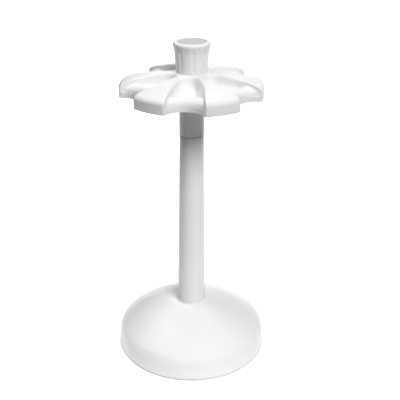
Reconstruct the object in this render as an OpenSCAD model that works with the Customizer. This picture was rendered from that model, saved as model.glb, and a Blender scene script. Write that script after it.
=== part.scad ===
// Pipette carousel stand: a weighted domed base, a tapered pole and a six-station
// head that turns on a steel spindle, with a fluted carrying knob on top.
// Units are millimetres, +Z is up, the origin is the centre of the footprint.

/* [Base] */
// Radius of the base at its bottom rim
base_r = 77.7; // [70:0.1:90]
// Height of the bottom rim above the bench, which the feet give
base_lift = 1.2; // [0.6:0.1:3]
// Lean of the base's side wall, in degrees
base_draft = 2.5; // [0:0.5:5]
// Radius of the crown that forms the top of the base
crown_r = 115; // [100:1:160]
// Height of the crown where the pole comes out
crown_h = 50.4; // [44:0.2:56]
// Radius of the rounded shoulder between wall and crown
shoulder_r = 12; // [6:0.5:16]
// Wall of the base moulding
base_wall = 3; // [2:0.1:4]
// Radius of the fillet that runs from the crown up to the pole
collar_fillet = 2.4; // [1:0.1:4]
// Number of stiffening ribs under the crown
base_ribs = 8; // [4:2:16]
// Thickness of a moulded rib
rib_t = 2; // [1.2:0.1:3]
// How far the axes of the screw bosses lie inside the rim
boss_inset = 10.7; // [9.8:0.1:14]
// Radius of a screw boss
boss_r = 4; // [3:0.1:5]

/* [Bottom cover and feet] */
// Thickness of the bottom cover
cover_t = 2.4; // [2.2:0.1:4]
// Number of cover screws
cover_screw_count = 4; // [3:1:8]
// Number of rubber feet
foot_count = 4; // [3:1:8]
// How far the centres of the feet lie inside the rim
foot_inset = 19.7; // [14:0.1:30]
// Radius of a rubber foot
foot_r = 7; // [5:0.5:10]
// Depth of the recess that holds a foot
foot_recess = 0.8; // [0.4:0.1:1.2]

/* [Ballast] */
// How far the edge of the steel ballast disc lies inside the rim
ballast_inset = 17.7; // [16:0.1:32]
// Thickness of the ballast disc
ballast_t = 10; // [8:0.5:14]
// Air between the bottom cover and the ballast disc
ballast_gap = 2.4; // [1.5:0.1:4]

/* [Pole] */
// Diameter of the pole where it leaves the base
pole_foot_d = 29.2; // [26:0.1:34]
// Diameter of the pole at its top end
pole_top_d = 25.1; // [24:0.1:28]
// Height of the pole's top end above the bench
pole_top_z = 238; // [180:1:280]
// Wall of the pole
pole_wall = 3; // [2:0.1:3.6]
// Thickness of the closed top of the pole
pole_end_t = 8; // [5:0.5:12]
// Width of the keys under the pole's foot
key_w = 5; // [3:0.5:7]
// Depth of the keys under the pole's foot
key_h = 2; // [1:0.1:2.6]

/* [Spindle and bearings] */
// Diameter of the steel spindle
spindle_d = 12; // [10.5:0.1:13]
// Radius of the spindle's flange
spindle_flange_r = 9; // [8:0.1:9.6]
// Thickness of the spindle's flange
spindle_flange_t = 3; // [2:0.1:4]
// Diameter of the threaded stub on top of the spindle
stub_d = 8; // [6:0.5:9]
// Diameter of the tie rod
rod_d = 6; // [5:0.5:7]
// Length of tie rod screwed into the spindle
rod_grip = 12; // [8:0.5:18]
// Wall of a bearing bush
bush_wall = 1.4; // [1:0.1:1.6]
// Length of a bearing bush
bush_len = 14; // [10:0.5:18]
// Thickness of a bush's flange
bush_flange_t = 1.5; // [1:0.1:2]
// Thickness of the thrust washer
thrust_t = 1; // [0.5:0.1:2]
// Height of the disc spring
spring_h = 1.4; // [1:0.1:2]
// Thickness of the disc spring's steel
spring_t = 0.6; // [0.4:0.05:0.9]
// Radius of the retaining washer
washer_r = 7.9; // [7:0.1:8]
// Thickness of the retaining washer
washer_t = 1.6; // [1:0.1:2]

/* [Neck sleeve] */
// Diameter of the neck sleeve
sleeve_d = 25.9; // [25:0.1:28]
// Gap between the pole and the sleeve that turns above it
sleeve_gap = 0.4; // [0.2:0.05:1]

/* [Carousel head] */
// Number of pipette stations
stations = 6; // [4:1:7]
// Radius of the head over its lobes
head_r = 69.6; // [66:0.1:76]
// Length of neck that shows between the pole and the head
neck_h = 40.3; // [30:0.1:60]
// Height of the skirt at the lobes
skirt_h = 12.6; // [10:0.1:16]
// Rise of the head's domed top from the skirt to the hub
head_rise = 10; // [6:0.1:14]
// Thickness of the head's walls
head_wall = 2.4; // [1.8:0.1:3]
// Radius of the rounding on top of the skirt
rim_round = 1.8; // [0.8:0.1:3]
// Radius of a scallop, which a pipette's handle hangs in
scallop_r = 20; // [16:0.1:21]
// Distance of a scallop's centre from the axis
scallop_centre = 74.8; // [72:0.1:80]
// Height of the pocket floor above the head's bottom edge
pocket_floor = 7.7; // [5:0.1:9]
// Distance from the axis to the centre of the pocket's round end
pocket_x = 27; // [26.6:0.1:32]
// Half width of the channel at its widest
channel_half = 18.7; // [16:0.1:19]
// Radius of the arcs that form a channel's sides
side_r = 165; // [150:1:220]
// Distance from the axis at which a channel would be widest
side_x = 81.6; // [80:0.1:90]
// Height of the saddle's crest above the head's bottom edge
saddle_h = 12.4; // [9:0.1:14]
// Height of the saddle's outer edge above the head's bottom edge
saddle_edge_h = 6.8; // [4:0.1:8]
// Width of the saddle's rounded outer side
saddle_round_w = 7.6; // [5:0.1:9]
// Width of the level top of the saddle
saddle_land = 1; // [0.5:0.1:2]
// Width of the saddle's inner slope
saddle_slope_w = 4; // [1.5:0.1:5]
// Thickness of the plate on top of the hub
hub_plate_t = 3; // [2.5:0.1:4]

/* [Knob] */
// Radius of the knob at its foot
knob_foot_r = 14.9; // [14.6:0.1:16]
// Radius of the knob at its rim
knob_rim_r = 17.6; // [16.4:0.1:20]
// Height of the knob
knob_h = 29; // [24:0.5:40]
// Radius of the rounded rim
knob_rim_round = 2.2; // [1.4:0.1:3]
// Thickness of the knob's floor
knob_floor_t = 3; // [2:0.1:4]
// Radius of the knob's hollow
knob_bore_r = 12.9; // [12.7:0.1:13.2]
// Number of flutes in the grip
flutes = 8; // [4:2:12]
// Radius of a flute
flute_r = 7; // [5:0.1:10]
// Depth of a flute
flute_depth = 0.55; // [0.2:0.05:0.9]
// Radius of the cap disc in the knob's top
cap_r = 14.6; // [14:0.1:14.9]
// Thickness of the cap disc
cap_t = 2.2; // [1.6:0.1:3]
// Depth of the cap disc's face below the rim
cap_sink = 0.7; // [0.3:0.1:1.5]
// Number of screws that join knob, head and neck sleeve
knob_screw_count = 4; // [2:1:6]

/* [Fits] */
// Radial running clearance of the bushes on the spindle
running_fit = 0.05; // [0.02:0.01:0.1]
// Radial clearance of pieces that slide together when assembled
slip_fit = 0.1; // [0.05:0.01:0.2]
// Radial clearance of a screw in the hole it is driven into
thread_fit = 0.02; // [0.01:0.01:0.05]
// Radial clearance of a screw in a hole it passes through
pass_fit = 0.25; // [0.1:0.05:0.4]

/* [Hidden] */

$fn = 96;
arc_steps = 12;      // straight steps that a rounded stretch of an outline takes
dome_steps = 6;      // straight steps across the head's domed top
rim_steps = 3;       // straight steps round the head's outer edge
rim_start = 67.5;    // angle at which the dome runs into that edge
past = 1;            // how far a cutting shape runs past the face it opens
apart = 0.01;        // keeps two points of an outline from falling together

white = "whitesmoke";
cap_grey = "gainsboro";
steel = "silver";
rubber = "dimgray";
bush_plastic = "ivory";

// Circles that the base's parts lie on
boss_ring_r = base_r - boss_inset;
foot_ring_r = base_r - foot_inset;
ballast_r = base_r - ballast_inset;
ballast_edge = 1;    // chamfer round the disc
foot_edge = 0.5;     // chamfer round a rubber foot

// Heights of the base's inside, from the bench upwards
cover_top = base_lift + cover_t;
ballast_z = cover_top + ballast_gap;
ballast_top = ballast_z + ballast_t;
socket_floor_t = 3;
pole_bottom_z = ballast_top + socket_floor_t;

// Crown and shoulder of the base
pole_foot_r = pole_foot_d / 2;
crown_z = crown_h - sqrt(pow(crown_r, 2) - pow(pole_foot_r, 2));
function crown_top(r, inset = 0) = crown_z + sqrt(pow(crown_r - inset, 2) - pow(r, 2));
function wall_r(z) = base_r - (z - base_lift) * tan(base_draft);
function shoulder_x(z, inset) = wall_r(z) - inset - (shoulder_r - inset) / cos(base_draft);
function shoulder_z(inset, steps, z) = steps == 0 ? z :
    shoulder_z(inset, steps - 1,
               crown_z + sqrt(pow(crown_r - shoulder_r, 2) - pow(shoulder_x(z, inset), 2)));

// Pole: its radius follows one straight taper
pole_taper = (pole_foot_d - pole_top_d) / 2 / (pole_top_z - crown_h);
function pole_r(z) = pole_foot_r - (z - crown_h) * pole_taper;
socket_wall = 3;

// Fasteners
cover_screw_r = 1.5;
cover_screw_head_r = 3;
cover_screw_head_h = 1.3;
cover_screw_len = 12;
nut_flats = 10;
nut_h = 5;
foot_washer_r = 9;
foot_washer_t = 1.6;
washer_seat = 3;     // steel left over the foot washer's counterbore
washer_room = 1;     // space round the foot washer in that counterbore
slot_w = 0.6;        // screwdriver slots in the heads of the screws
slot_depth = 0.7;
stub_nut_flats = 13;
stub_nut_h = 6.5;
stub_end = 2;        // thread that shows above the nut
knob_screw_r = 1.25;
knob_screw_head_r = 2.1;
knob_screw_head_h = 1.6;
knob_screw_len = 15;
knob_screw_ring = 10.5;

// Spindle and what is stacked on it, from the pole upwards
spindle_r = spindle_d / 2;
stub_r = stub_d / 2;
rod_r = rod_d / 2;
rod_gap = 0.6;       // the rod's end stays this far above the ballast's lower face
tail_wall = 2;       // steel round the tapped hole for the rod
rod_bottom_z = ballast_z + rod_gap;
spindle_tail_r = rod_r + tail_wall;
flange_top = pole_top_z + spindle_flange_t;
thrust_top = flange_top + thrust_t;
lower_lip = 0.6;     // how far each bush's flange stands out
upper_lip = 0.8;
bush_bore_r = spindle_r + running_fit;
bush_r = bush_bore_r + bush_wall;
lower_flange_r = spindle_flange_r + lower_lip;
upper_flange_r = bush_r + upper_lip;
head_bottom_z = pole_top_z + neck_h;
hub_top_z = head_bottom_z + skirt_h + head_rise;
hub_plate_z = hub_top_z - hub_plate_t;
spring_z = hub_plate_z + bush_flange_t;
shoulder_top = spring_z + spring_h;
stub_top = shoulder_top + washer_t + stub_nut_h + stub_end;

// Neck sleeve
sleeve_r = sleeve_d / 2;
sleeve_bottom_z = pole_top_z + sleeve_gap;
sleeve_relief = 0.6;                       // the bore is this much wider between its bushes
hub_r = sleeve_r + slip_fit + head_wall;
rib_lift = 2;                              // the ribs end this far above the skirt's foot
hub_skirt_z = head_bottom_z + rib_lift;

// Head: places of the stations and the outline of a channel
station_pitch = 360 / stations;
function station_angle(i) = -90 + i * station_pitch;
skirt_top_z = head_bottom_z + skirt_h;
pocket_z = head_bottom_z + pocket_floor;
// each side of a channel is an arc that runs parallel to the channel at side_x
side_y = channel_half - side_r;
function pocket_half(grow) = side_y + sqrt(pow(side_r + grow, 2) - pow(side_x - pocket_x, 2));
// rounded outer side of a saddle, as one arc that is level at the crest
saddle_crest_r = scallop_r + saddle_round_w;
saddle_rise = saddle_h - saddle_edge_h;
lip_flat = 0.2;      // the arc stops this short of upright
saddle_arc_r = (pow(saddle_round_w, 2) + pow(saddle_rise, 2)) / 2 / saddle_rise;

// Knob
knob_z = hub_top_z;
knob_top = knob_z + knob_h;
knob_floor_z = knob_z + knob_floor_t;
cap_z = knob_top - cap_sink - cap_t;
cap_skirt_h = 4;
cap_skirt_t = 1.3;
washer_play = 0.3;                         // space round the washer in the knob's floor
knob_bow = 0.9;                            // how far the grip's side bows inwards
knob_hole_r = washer_r + washer_play;
flute_lift = 2;                            // where the flutes start above the knob's foot
flute_share = 0.62;                        // how much of the knob's height they run

// Points of an arc about centre c from angle a0 to a1
function arc(c, r, a0, a1, n = arc_steps) =
    [for (i = [0 : n]) c + r * [cos(a0 + (a1 - a0) * i / n), sin(a0 + (a1 - a0) * i / n)]];

// Points of the crown at a given inset from its surface, from radius r0 out to r1
function crown_line(r0, r1, inset) =
    [for (i = [0 : arc_steps]) let (r = r0 + (r1 - r0) * i / arc_steps) [r, crown_top(r, inset)]];

// Outline of the base's outside, or of its inside when inset is the wall
function base_outline(r0, inset) =
    let (sz = shoulder_z(inset, 8, crown_h / 2),
         sx = shoulder_x(sz, inset),
         tilt = atan2(sz - crown_z, sx),
         r1 = (crown_r - inset) * cos(tilt))
    concat(crown_line(r0, r1, inset),
           arc([sx, sz], shoulder_r - inset, tilt, base_draft),
           [[wall_r(base_lift) - inset, base_lift]]);

// One child at each of n places around the axis
module around(n, r = 0, start = 0) {
    for (i = [0 : n - 1]) rotate([0, 0, start + 360 * i / n]) translate([r, 0, 0]) children();
}

module tube(r_out, r_in, h) {
    difference() {
        cylinder(r = r_out, h = h);
        translate([0, 0, -past]) cylinder(r = r_in, h = h + 2 * past);
    }
}

module hex_nut(flats, h, bore_r) {
    difference() {
        cylinder(r = flats / 2 / cos(30), h = h, $fn = 6);
        translate([0, 0, -past]) cylinder(r = bore_r, h = h + 2 * past);
    }
}

// ---------------------------------------------------------------- base

// The solid of the crown, shoulder and wall, with a fillet rising to the pole
module base_outside() {
    r0 = pole_foot_r + collar_fillet;
    lip_z = crown_top(r0) + collar_fillet;
    rotate_extrude()
        polygon(concat([[0, base_lift], [0, lip_z], [pole_foot_r, lip_z]],
                       arc([r0, lip_z], collar_fillet, 180, 270),
                       base_outline(r0 + apart, 0)));
}

module base_hollow() {
    rotate_extrude()
        polygon(concat([[0, base_lift - past], [0, crown_top(0, base_wall)]],
                       base_outline(apart, base_wall),
                       [[base_r - base_wall, base_lift - past]]));
}

// Boss that a cover screw is driven into
module screw_boss() {
    translate([0, 0, cover_top]) cylinder(r = boss_r, h = crown_top(boss_ring_r) - cover_top);
}

module base_shell() {
    color(white) difference() {
        union() {
            difference() {
                base_outside();
                base_hollow();
            }
            intersection() {
                base_outside();
                union() {
                    translate([0, 0, ballast_top])
                        cylinder(r = pole_r(pole_bottom_z) + slip_fit + socket_wall, h = crown_h);
                    around(base_ribs, 0, 180 / base_ribs)
                        translate([pole_foot_r, -rib_t / 2, ballast_top])
                            cube([base_r - pole_foot_r - base_wall, rib_t, crown_h]);
                    around(cover_screw_count, boss_ring_r) screw_boss();
                }
            }
        }
        // tapered socket for the pole's foot
        translate([0, 0, pole_bottom_z])
            cylinder(r1 = pole_r(pole_bottom_z) + slip_fit,
                     r2 = pole_r(pole_bottom_z + crown_h) + slip_fit, h = crown_h);
        translate([0, 0, ballast_top - past])
            cylinder(r = rod_r + pass_fit, h = socket_floor_t + 2 * past);
        pole_keys(slip_fit);
        around(cover_screw_count, boss_ring_r)
            translate([0, 0, cover_top - past])
                cylinder(r = cover_screw_r + thread_fit, h = cover_screw_len + past);
    }
}

module ballast_disc() {
    seat_z = ballast_top - washer_seat;
    color(steel) difference() {
        rotate_extrude()
            polygon([[0, ballast_z], [ballast_r - ballast_edge, ballast_z],
                     [ballast_r, ballast_z + ballast_edge],
                     [ballast_r, ballast_top - ballast_edge],
                     [ballast_r - ballast_edge, ballast_top], [0, ballast_top]]);
        translate([0, 0, ballast_z - past])
            cylinder(r = rod_r + pass_fit, h = ballast_t + 2 * past);
        translate([0, 0, ballast_z - past])
            cylinder(r = foot_washer_r + washer_room, h = seat_z - ballast_z + past);
    }
}

module bottom_cover() {
    color(white) difference() {
        translate([0, 0, base_lift])
            cylinder(r = base_r - base_wall - slip_fit, h = cover_t);
        around(cover_screw_count, boss_ring_r) {
            translate([0, 0, base_lift - past])
                cylinder(r = cover_screw_r + pass_fit, h = cover_t + 2 * past);
            translate([0, 0, base_lift - past])
                cylinder(r = cover_screw_head_r + pass_fit, h = cover_screw_head_h + past);
        }
        around(foot_count, foot_ring_r, 180 / foot_count)
            translate([0, 0, base_lift - past])
                cylinder(r = foot_r + slip_fit, h = foot_recess + past);
    }
}

module cover_screws() {
    color(steel) around(cover_screw_count, boss_ring_r) {
        translate([0, 0, base_lift]) difference() {
            cylinder(r = cover_screw_head_r, h = cover_screw_head_h);
            for (turn = [0, 90]) rotate([0, 0, turn])
                translate([-cover_screw_head_r / 2, -slot_w / 2, -past])
                    cube([cover_screw_head_r, slot_w, past + slot_depth]);
        }
        translate([0, 0, base_lift + cover_screw_head_h])
            cylinder(r = cover_screw_r, h = cover_screw_len - cover_screw_head_h);
    }
}

// Round pads with a softened lower edge
module rubber_feet() {
    foot_h = base_lift + foot_recess;
    edge = min(foot_edge, base_lift / 2);
    color(rubber) around(foot_count, foot_ring_r, 180 / foot_count)
        rotate_extrude()
            polygon([[0, 0], [foot_r - edge, 0], [foot_r, edge], [foot_r, foot_h], [0, foot_h]]);
}

// ---------------------------------------------------------------- pole

// Two keys across the foot, which stop the pole turning in its socket
module pole_keys(grow = 0) {
    ring_mid = pole_r(pole_bottom_z) - pole_wall / 2;
    for (side = [-1, 1])
        translate([side * ring_mid - pole_wall / 2 - grow, -key_w / 2 - grow,
                   pole_bottom_z - key_h])
            cube([pole_wall + 2 * grow, key_w + 2 * grow, key_h + (grow > 0 ? past : 0)]);
}

module pole() {
    inner_top = pole_top_z - pole_end_t;
    color(white) union() {
        difference() {
            translate([0, 0, pole_bottom_z])
                cylinder(r1 = pole_r(pole_bottom_z), r2 = pole_top_d / 2,
                         h = pole_top_z - pole_bottom_z);
            translate([0, 0, pole_bottom_z - past])
                cylinder(r1 = pole_r(pole_bottom_z - past) - pole_wall,
                         r2 = pole_r(inner_top) - pole_wall,
                         h = inner_top - pole_bottom_z + past);
            translate([0, 0, inner_top - past])
                cylinder(r = spindle_tail_r + slip_fit, h = pole_end_t + 2 * past);
        }
        pole_keys();
    }
}

module tie_rod() {
    color(steel) translate([0, 0, rod_bottom_z])
        cylinder(r = rod_r, h = pole_top_z - pole_end_t + rod_grip - rod_bottom_z);
}

module foot_washer() {
    color(steel) translate([0, 0, ballast_top - washer_seat - foot_washer_t])
        tube(foot_washer_r, rod_r + pass_fit, foot_washer_t);
}

module foot_nut() {
    color(steel) translate([0, 0, ballast_top - washer_seat - foot_washer_t - nut_h])
        hex_nut(nut_flats, nut_h, rod_r + thread_fit);
}

// ---------------------------------------------------------------- spindle

module spindle() {
    tail_z = pole_top_z - pole_end_t;
    color(steel) difference() {
        rotate_extrude()
            polygon([[0, tail_z], [spindle_tail_r, tail_z], [spindle_tail_r, pole_top_z],
                     [spindle_flange_r, pole_top_z], [spindle_flange_r, flange_top],
                     [spindle_r, flange_top], [spindle_r, shoulder_top],
                     [stub_r, shoulder_top], [stub_r, stub_top - 1],
                     [stub_r - 1, stub_top], [0, stub_top]]);
        translate([0, 0, tail_z - past])
            cylinder(r = rod_r + thread_fit, h = rod_grip + past + 1);
    }
}

module thrust_washer() {
    color(bush_plastic) translate([0, 0, flange_top])
        tube(spindle_flange_r, spindle_r + slip_fit, thrust_t);
}

// A coned steel ring that takes up the axial play and gives the head a slight drag
module disc_spring() {
    bore = spindle_r + slip_fit;
    color(steel) rotate_extrude()
        polygon([[bore, spring_z + spring_h - spring_t], [washer_r, spring_z],
                 [washer_r, spring_z + spring_t], [bore, spring_z + spring_h]]);
}

module retaining_washer() {
    color(steel) translate([0, 0, shoulder_top])
        tube(washer_r, stub_r + slip_fit, washer_t);
}

module retaining_nut() {
    color(steel) translate([0, 0, shoulder_top + washer_t])
        hex_nut(stub_nut_flats, stub_nut_h, stub_r + thread_fit);
}

// ---------------------------------------------------------------- neck and bushes

module lower_bush() {
    color(bush_plastic) rotate_extrude()
        polygon([[bush_bore_r, thrust_top], [lower_flange_r, thrust_top],
                 [lower_flange_r, thrust_top + bush_flange_t],
                 [bush_r, thrust_top + bush_flange_t],
                 [bush_r, thrust_top + bush_len], [bush_bore_r, thrust_top + bush_len]]);
}

module upper_bush() {
    color(bush_plastic) rotate_extrude()
        polygon([[bush_bore_r, hub_plate_z - bush_len], [bush_r, hub_plate_z - bush_len],
                 [bush_r, hub_plate_z], [upper_flange_r, hub_plate_z],
                 [upper_flange_r, spring_z], [bush_bore_r, spring_z]]);
}

module neck_sleeve() {
    seat_r = bush_r + thread_fit;
    counter_r = lower_flange_r + slip_fit;
    counter_z = thrust_top + bush_flange_t;
    edge = 0.5;
    color(white) difference() {
        rotate_extrude()
            polygon([[seat_r, counter_z], [counter_r, counter_z], [counter_r, sleeve_bottom_z],
                     [sleeve_r - edge, sleeve_bottom_z], [sleeve_r, sleeve_bottom_z + edge],
                     [sleeve_r, hub_plate_z], [seat_r, hub_plate_z],
                     [seat_r, hub_plate_z - bush_len],
                     [seat_r + sleeve_relief, hub_plate_z - bush_len - sleeve_relief],
                     [seat_r + sleeve_relief, thrust_top + bush_len + sleeve_relief],
                     [seat_r, thrust_top + bush_len]]);
        around(knob_screw_count, knob_screw_ring, 45)
            translate([0, 0, knob_floor_z - knob_screw_len])
                cylinder(r = knob_screw_r + thread_fit, h = knob_screw_len + past);
    }
}

// ---------------------------------------------------------------- carousel head

// Radius of the head's domed top, from its rise over the lobes
dome_span = head_r - rim_round - knob_foot_r;
dome_r = (pow(dome_span, 2) + pow(head_rise, 2)) / 2 / head_rise;

function dome_top(r) = hub_top_z - dome_r + sqrt(pow(dome_r, 2) - pow(r - knob_foot_r, 2));

// Revolved body of the head: level round the hub, then domed; inset draws its walls in
module head_round(inset, bottom_z) {
    edge_r = head_r - rim_round;
    corner = [edge_r - inset, dome_top(edge_r) - inset - rim_round];
    crown = [for (i = [0 : dome_steps]) let (r = knob_foot_r + dome_span * i / dome_steps)
             [r - inset * i / dome_steps, dome_top(r) - inset]];
    rotate_extrude()
        polygon(concat([[0, bottom_z], [0, hub_top_z - inset]], crown,
                       arc(corner, rim_round, rim_start, 0, rim_steps),
                       [[head_r - inset, bottom_z]]));
}

// Round wells of the scallops, about their own centres
module scallop_wells(grow, z0, h) {
    around(stations, scallop_centre, station_angle(0))
        translate([0, 0, z0]) cylinder(r = scallop_r + grow, h = h);
}

// Plan of one channel, along +X: a round end at the hub, then two arcs that fan out
module channel_plan(grow) {
    intersection() {
        translate([side_x, side_y]) circle(r = side_r + grow, $fn = 720);
        translate([side_x, -side_y]) circle(r = side_r + grow, $fn = 720);
        translate([pocket_x, -head_r]) square([scallop_centre - pocket_x, 2 * head_r]);
    }
    translate([pocket_x, 0]) circle(r = pocket_half(grow));
}

// Saddle across one channel, along +X: a ring about the scallop's centre
module saddle_ring(drop) {
    crest_z = head_bottom_z + saddle_h - drop;
    low = head_bottom_z - 2 * past;
    lip_r = saddle_crest_r - saddle_arc_r + lip_flat;
    lip_z = crest_z - saddle_arc_r
        + sqrt(pow(saddle_arc_r, 2) - pow(saddle_crest_r - lip_r, 2));
    slope_r = saddle_crest_r + saddle_land;
    translate([scallop_centre, 0, 0]) rotate_extrude() {
        polygon([[0, low], [0, lip_z], [lip_r, lip_z], [saddle_crest_r, crest_z],
                 [slope_r, crest_z], [slope_r + saddle_slope_w, low]]);
        intersection() {
            translate([saddle_crest_r, crest_z - saddle_arc_r]) circle(r = saddle_arc_r);
            translate([lip_r, lip_z]) square([saddle_crest_r - lip_r, saddle_arc_r]);
        }
    }
}

// Everything above the floor of one channel, along +X
module channel_cut(grow) {
    floor_z = pocket_z - grow;
    difference() {
        translate([0, 0, floor_z])
            linear_extrude(height = hub_top_z - floor_z + past) channel_plan(grow);
        saddle_ring(grow);
    }
}

// Space under the head's skin: inside its walls, and below and beside its channels
module head_hollow() {
    difference() {
        head_round(head_wall, head_bottom_z - past);
        scallop_wells(head_wall, head_bottom_z - 2 * past, hub_top_z);
        around(stations, 0, station_angle(0)) channel_cut(head_wall);
        translate([0, 0, head_bottom_z - 2 * past]) cylinder(r = hub_r, h = hub_top_z);
        around(stations, 0, station_angle(0.5))
            translate([0, -rib_t / 2, hub_skirt_z])
                cube([head_r, rib_t, hub_top_z - hub_skirt_z]);
    }
}

module carousel_head() {
    color(white) difference() {
        head_round(0, head_bottom_z);
        scallop_wells(0, head_bottom_z - past, hub_top_z);
        around(stations, 0, station_angle(0)) channel_cut(0);
        head_hollow();
        // bore that the neck sleeve is pushed into, and the hole for the upper bush
        translate([0, 0, head_bottom_z - past])
            cylinder(r = sleeve_r + slip_fit, h = hub_plate_z - head_bottom_z + past);
        translate([0, 0, hub_plate_z - past])
            cylinder(r = upper_flange_r + slip_fit, h = hub_plate_t + 2 * past);
        around(knob_screw_count, knob_screw_ring, 45)
            translate([0, 0, hub_plate_z - past])
                cylinder(r = knob_screw_r + pass_fit / 2, h = hub_plate_t + 2 * past);
    }
}

// ---------------------------------------------------------------- knob

// Side of the grip: it flares from foot to rim, bowed a little inwards
function knob_side(u) = knob_foot_r + (knob_rim_r - knob_foot_r) * u
    - knob_bow * 4 * u * (1 - u) * u;

module knob_flute() {
    lean = atan2(knob_rim_r - knob_foot_r, knob_h);
    reach = knob_h * flute_share;
    translate([knob_foot_r - flute_depth + flute_r, 0, knob_z + flute_lift]) rotate([0, lean, 0]) {
        cylinder(r = flute_r, h = reach);
        translate([0, 0, reach]) sphere(r = flute_r);
        sphere(r = flute_r);
    }
}

module knob() {
    rim_z = knob_top - knob_rim_round;
    rim_u = 1 - knob_rim_round / knob_h;
    side = [for (i = [0 : arc_steps]) let (u = rim_u * i / arc_steps)
            [knob_side(u), knob_z + knob_h * u]];
    rim_c = [knob_side(rim_u) - knob_rim_round, rim_z];
    color(white) difference() {
        rotate_extrude()
            polygon(concat([[0, knob_z]], side, arc(rim_c, knob_rim_round, 0, 90),
                           [[0, knob_top]]));
        around(flutes) knob_flute();
        translate([0, 0, knob_floor_z]) cylinder(r = knob_bore_r, h = knob_h);
        translate([0, 0, knob_z - past]) cylinder(r = knob_hole_r, h = knob_floor_t + 2 * past);
        translate([0, 0, cap_z]) cylinder(r = cap_r + slip_fit, h = knob_h);
        around(knob_screw_count, knob_screw_ring, 45)
            translate([0, 0, knob_z - past])
                cylinder(r = knob_screw_r + pass_fit / 2, h = knob_floor_t + 2 * past);
    }
}

module knob_screws() {
    color(steel) around(knob_screw_count, knob_screw_ring, 45) {
        translate([0, 0, knob_floor_z - knob_screw_len])
            cylinder(r = knob_screw_r, h = knob_screw_len);
        translate([0, 0, knob_floor_z]) difference() {
            cylinder(r = knob_screw_head_r, h = knob_screw_head_h);
            translate([-knob_screw_head_r, -slot_w / 2, knob_screw_head_h - slot_depth])
                cube([2 * knob_screw_head_r, slot_w, past]);
        }
    }
}

// Disc with a softened edge and a short skirt that snaps into the knob's hollow
module knob_cap() {
    edge = 0.4;
    color(cap_grey) rotate_extrude()
        polygon([[0, cap_z], [knob_bore_r - slip_fit - cap_skirt_t, cap_z],
                 [knob_bore_r - slip_fit - cap_skirt_t, cap_z - cap_skirt_h],
                 [knob_bore_r - slip_fit, cap_z - cap_skirt_h],
                 [knob_bore_r - slip_fit, cap_z], [cap_r, cap_z],
                 [cap_r, cap_z + cap_t - edge], [cap_r - edge, cap_z + cap_t],
                 [0, cap_z + cap_t]]);
}

base_shell();
ballast_disc();
bottom_cover();
cover_screws();
rubber_feet();
pole();
tie_rod();
foot_washer();
foot_nut();
spindle();
thrust_washer();
disc_spring();
retaining_washer();
retaining_nut();
carousel_head();
neck_sleeve();
lower_bush();
upper_bush();
knob();
knob_screws();
knob_cap();
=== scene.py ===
"""Moulded shells, finishes and studio for a six-place pipette carousel stand."""
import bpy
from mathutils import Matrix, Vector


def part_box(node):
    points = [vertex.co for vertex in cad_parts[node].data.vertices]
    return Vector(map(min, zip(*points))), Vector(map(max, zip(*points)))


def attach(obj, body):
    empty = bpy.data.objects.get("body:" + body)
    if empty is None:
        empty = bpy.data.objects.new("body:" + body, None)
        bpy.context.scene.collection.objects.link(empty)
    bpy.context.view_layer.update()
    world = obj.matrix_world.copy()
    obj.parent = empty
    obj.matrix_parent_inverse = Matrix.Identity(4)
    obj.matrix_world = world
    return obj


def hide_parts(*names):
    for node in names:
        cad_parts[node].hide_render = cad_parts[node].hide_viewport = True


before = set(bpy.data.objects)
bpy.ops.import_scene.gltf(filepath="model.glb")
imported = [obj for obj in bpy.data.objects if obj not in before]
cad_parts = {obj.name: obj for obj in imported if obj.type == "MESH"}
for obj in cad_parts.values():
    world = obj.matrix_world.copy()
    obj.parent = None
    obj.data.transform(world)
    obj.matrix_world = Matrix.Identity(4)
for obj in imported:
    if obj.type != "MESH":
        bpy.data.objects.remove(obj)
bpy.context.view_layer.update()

from types import SimpleNamespace

import bmesh
import bpy
import numpy as np
from bpy.props import FloatProperty, FloatVectorProperty, IntProperty
from mathutils import Euler

bl_info = {
    "name": "Pipette Carousel Stand",
    "version": (1, 0, 0),
    "blender": (4, 5, 0),
    "location": "View3D > Sidebar > Carousel Stand",
    "description": "Builds the moulded shells of a pipette carousel stand and dresses its hardware",
    "category": "Object",
}

MM = 0.001
WELD = 1e-6             # points closer than this become one, in metres


# ---------------------------------------------------------------- sizes from the frame

def reach(node):
    """Largest radius, lowest z and highest z of a turned node."""
    low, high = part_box(node)
    return max(-low.x, high.x, -low.y, high.y), low.z, high.z


BASE_R, BASE_LOW, _ = reach("base_shell")
_, POLE_LOW, POLE_HIGH = reach("pole")
SLEEVE_R, SLEEVE_LOW, SLEEVE_HIGH = reach("neck_sleeve")
_, HEAD_LOW, HEAD_HIGH = reach("carousel_head")
KNOB_R, KNOB_LOW, KNOB_HIGH = reach("knob")
CAP_R, CAP_LOW, CAP_HIGH = reach("knob_cap")
FOOT_LOW, FOOT_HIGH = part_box("rubber_feet")


# ---------------------------------------------------------------- fixed sizes

FRONT = -np.pi / 2        # angle of the first station, on the side that faces -Y
PLAY = 0.1 * MM           # clearance between shells that seat in each other

# how far the shells stand off from their plain solids
SLEEVE_SLIM = 0.65 * MM   # the neck's radius is this much smaller
KNOB_FLARE = 1.9 * MM     # the line of the knob's side would end this far outside
CAP_SHY = 0.7 * MM        # the disc's radius is this much smaller

# plan of the head's grid: how many steps each stretch of a row or column takes
RIM_STEPS, WALL_STEPS, FAN_STEPS, HUB_STEPS = 6, 35, 9, 6
FLOOR_STEPS, FILLET_STEPS, EDGE_STEPS, LAND_STEPS = 10, 5, 6, 12
LAND_SPREAD = 1.15        # power that packs the lobe's columns towards its edge

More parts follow.
